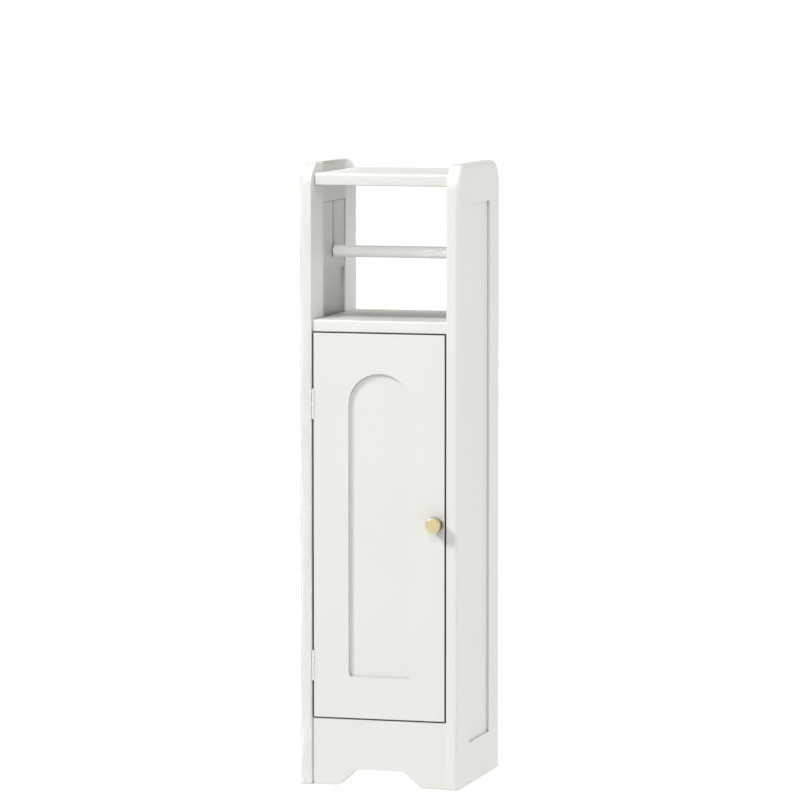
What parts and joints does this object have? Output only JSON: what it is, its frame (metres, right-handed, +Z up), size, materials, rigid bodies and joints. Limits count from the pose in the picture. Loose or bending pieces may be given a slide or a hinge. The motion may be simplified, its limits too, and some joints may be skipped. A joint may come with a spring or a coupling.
{
  "type": "toilet roll storage cabinet",
  "caption": "Tall narrow white bathroom cabinet: an open bay at the top with a lift-out bar for a toilet roll, and below it a cupboard with an arch-panelled door and a round brass knob.",
  "frame": {"origin": "on the floor, in the middle of the whole outline seen from above, knob included", "axes": "+X to the right as seen from the front, +Y to the back, +Z up; the door and the knob face -Y"},
  "size_m": [0.206, 0.217, 0.78],
  "materials": {
    "white_board": "smooth satin white paint on wood-fibre board",
    "hinge_paint": "white painted pressed steel",
    "brass_knob": "pale polished brass",
    "bright_steel": "bright plated steel",
    "zinc_cam": "dull cast zinc",
    "bare_beech": "bare turned beech",
    "white_plastic": "moulded white plastic",
    "dark_magnet": "dark ground magnet"
  },
  "bodies": {
    "cabinet": {"left_front_stile": "white_board", "left_rear_stile": "white_board", "left_top_rail": "white_board", "left_bottom_rail": "white_board", "left_side_field": "white_board", "left_slot_board": "white_board", "right_front_stile": "white_board", "right_rear_stile": "white_board", "right_top_rail": "white_board", "right_bottom_rail": "white_board", "right_side_field": "white_board", "right_slot_board": "white_board", "top_shelf": "white_board", "middle_shelf": "white_board", "bottom_shelf": "white_board", "inner_shelf": "white_board", "back_sheet": "white_board", "front_apron": "white_board", "upper_hinge_frame_leaf": "hinge_paint", "upper_hinge_pin": "bright_steel", "lower_hinge_frame_leaf": "hinge_paint", "lower_hinge_pin": "bright_steel", "hinge_frame_screws": "bright_steel", "catch_case": "white_plastic", "catch_magnet": "dark_magnet", "catch_screws": "bright_steel", "shelf_pegs": "bright_steel", "cam_bolts": "bright_steel", "cam_discs": "zinc_cam", "wood_dowels": "bare_beech", "back_screws": "bright_steel"},
    "door": {"door_panel": "white_board", "door_knob": "brass_knob", "knob_screw": "bright_steel", "upper_hinge_door_leaf": "hinge_paint", "lower_hinge_door_leaf": "hinge_paint", "hinge_door_screws": "bright_steel", "strike_plate": "bright_steel", "strike_screw": "bright_steel"},
    "bar_pins": {"bar_end_pins": "white_plastic"},
    "bar": {"roll_bar": "white_board"}
  },
  "joints": [
    {"name": "door_hinge", "type": "hinge", "parent": "cabinet", "child": "door", "pos_m": [-0.0854, -0.0924, 0.31575], "axis": [0, 0, -1], "range_deg": [0, 175]},
    {"name": "bar_lift", "type": "slide", "parent": "cabinet", "child": "bar_pins", "axis": [0, 0, 1], "range_m": [0, 0.055]},
    {"name": "bar_spin", "type": "hinge", "parent": "bar_pins", "child": "bar", "pos_m": [0, 0.0075, 0.666], "axis": [1, 0, 0], "continuous": true}
  ]
}
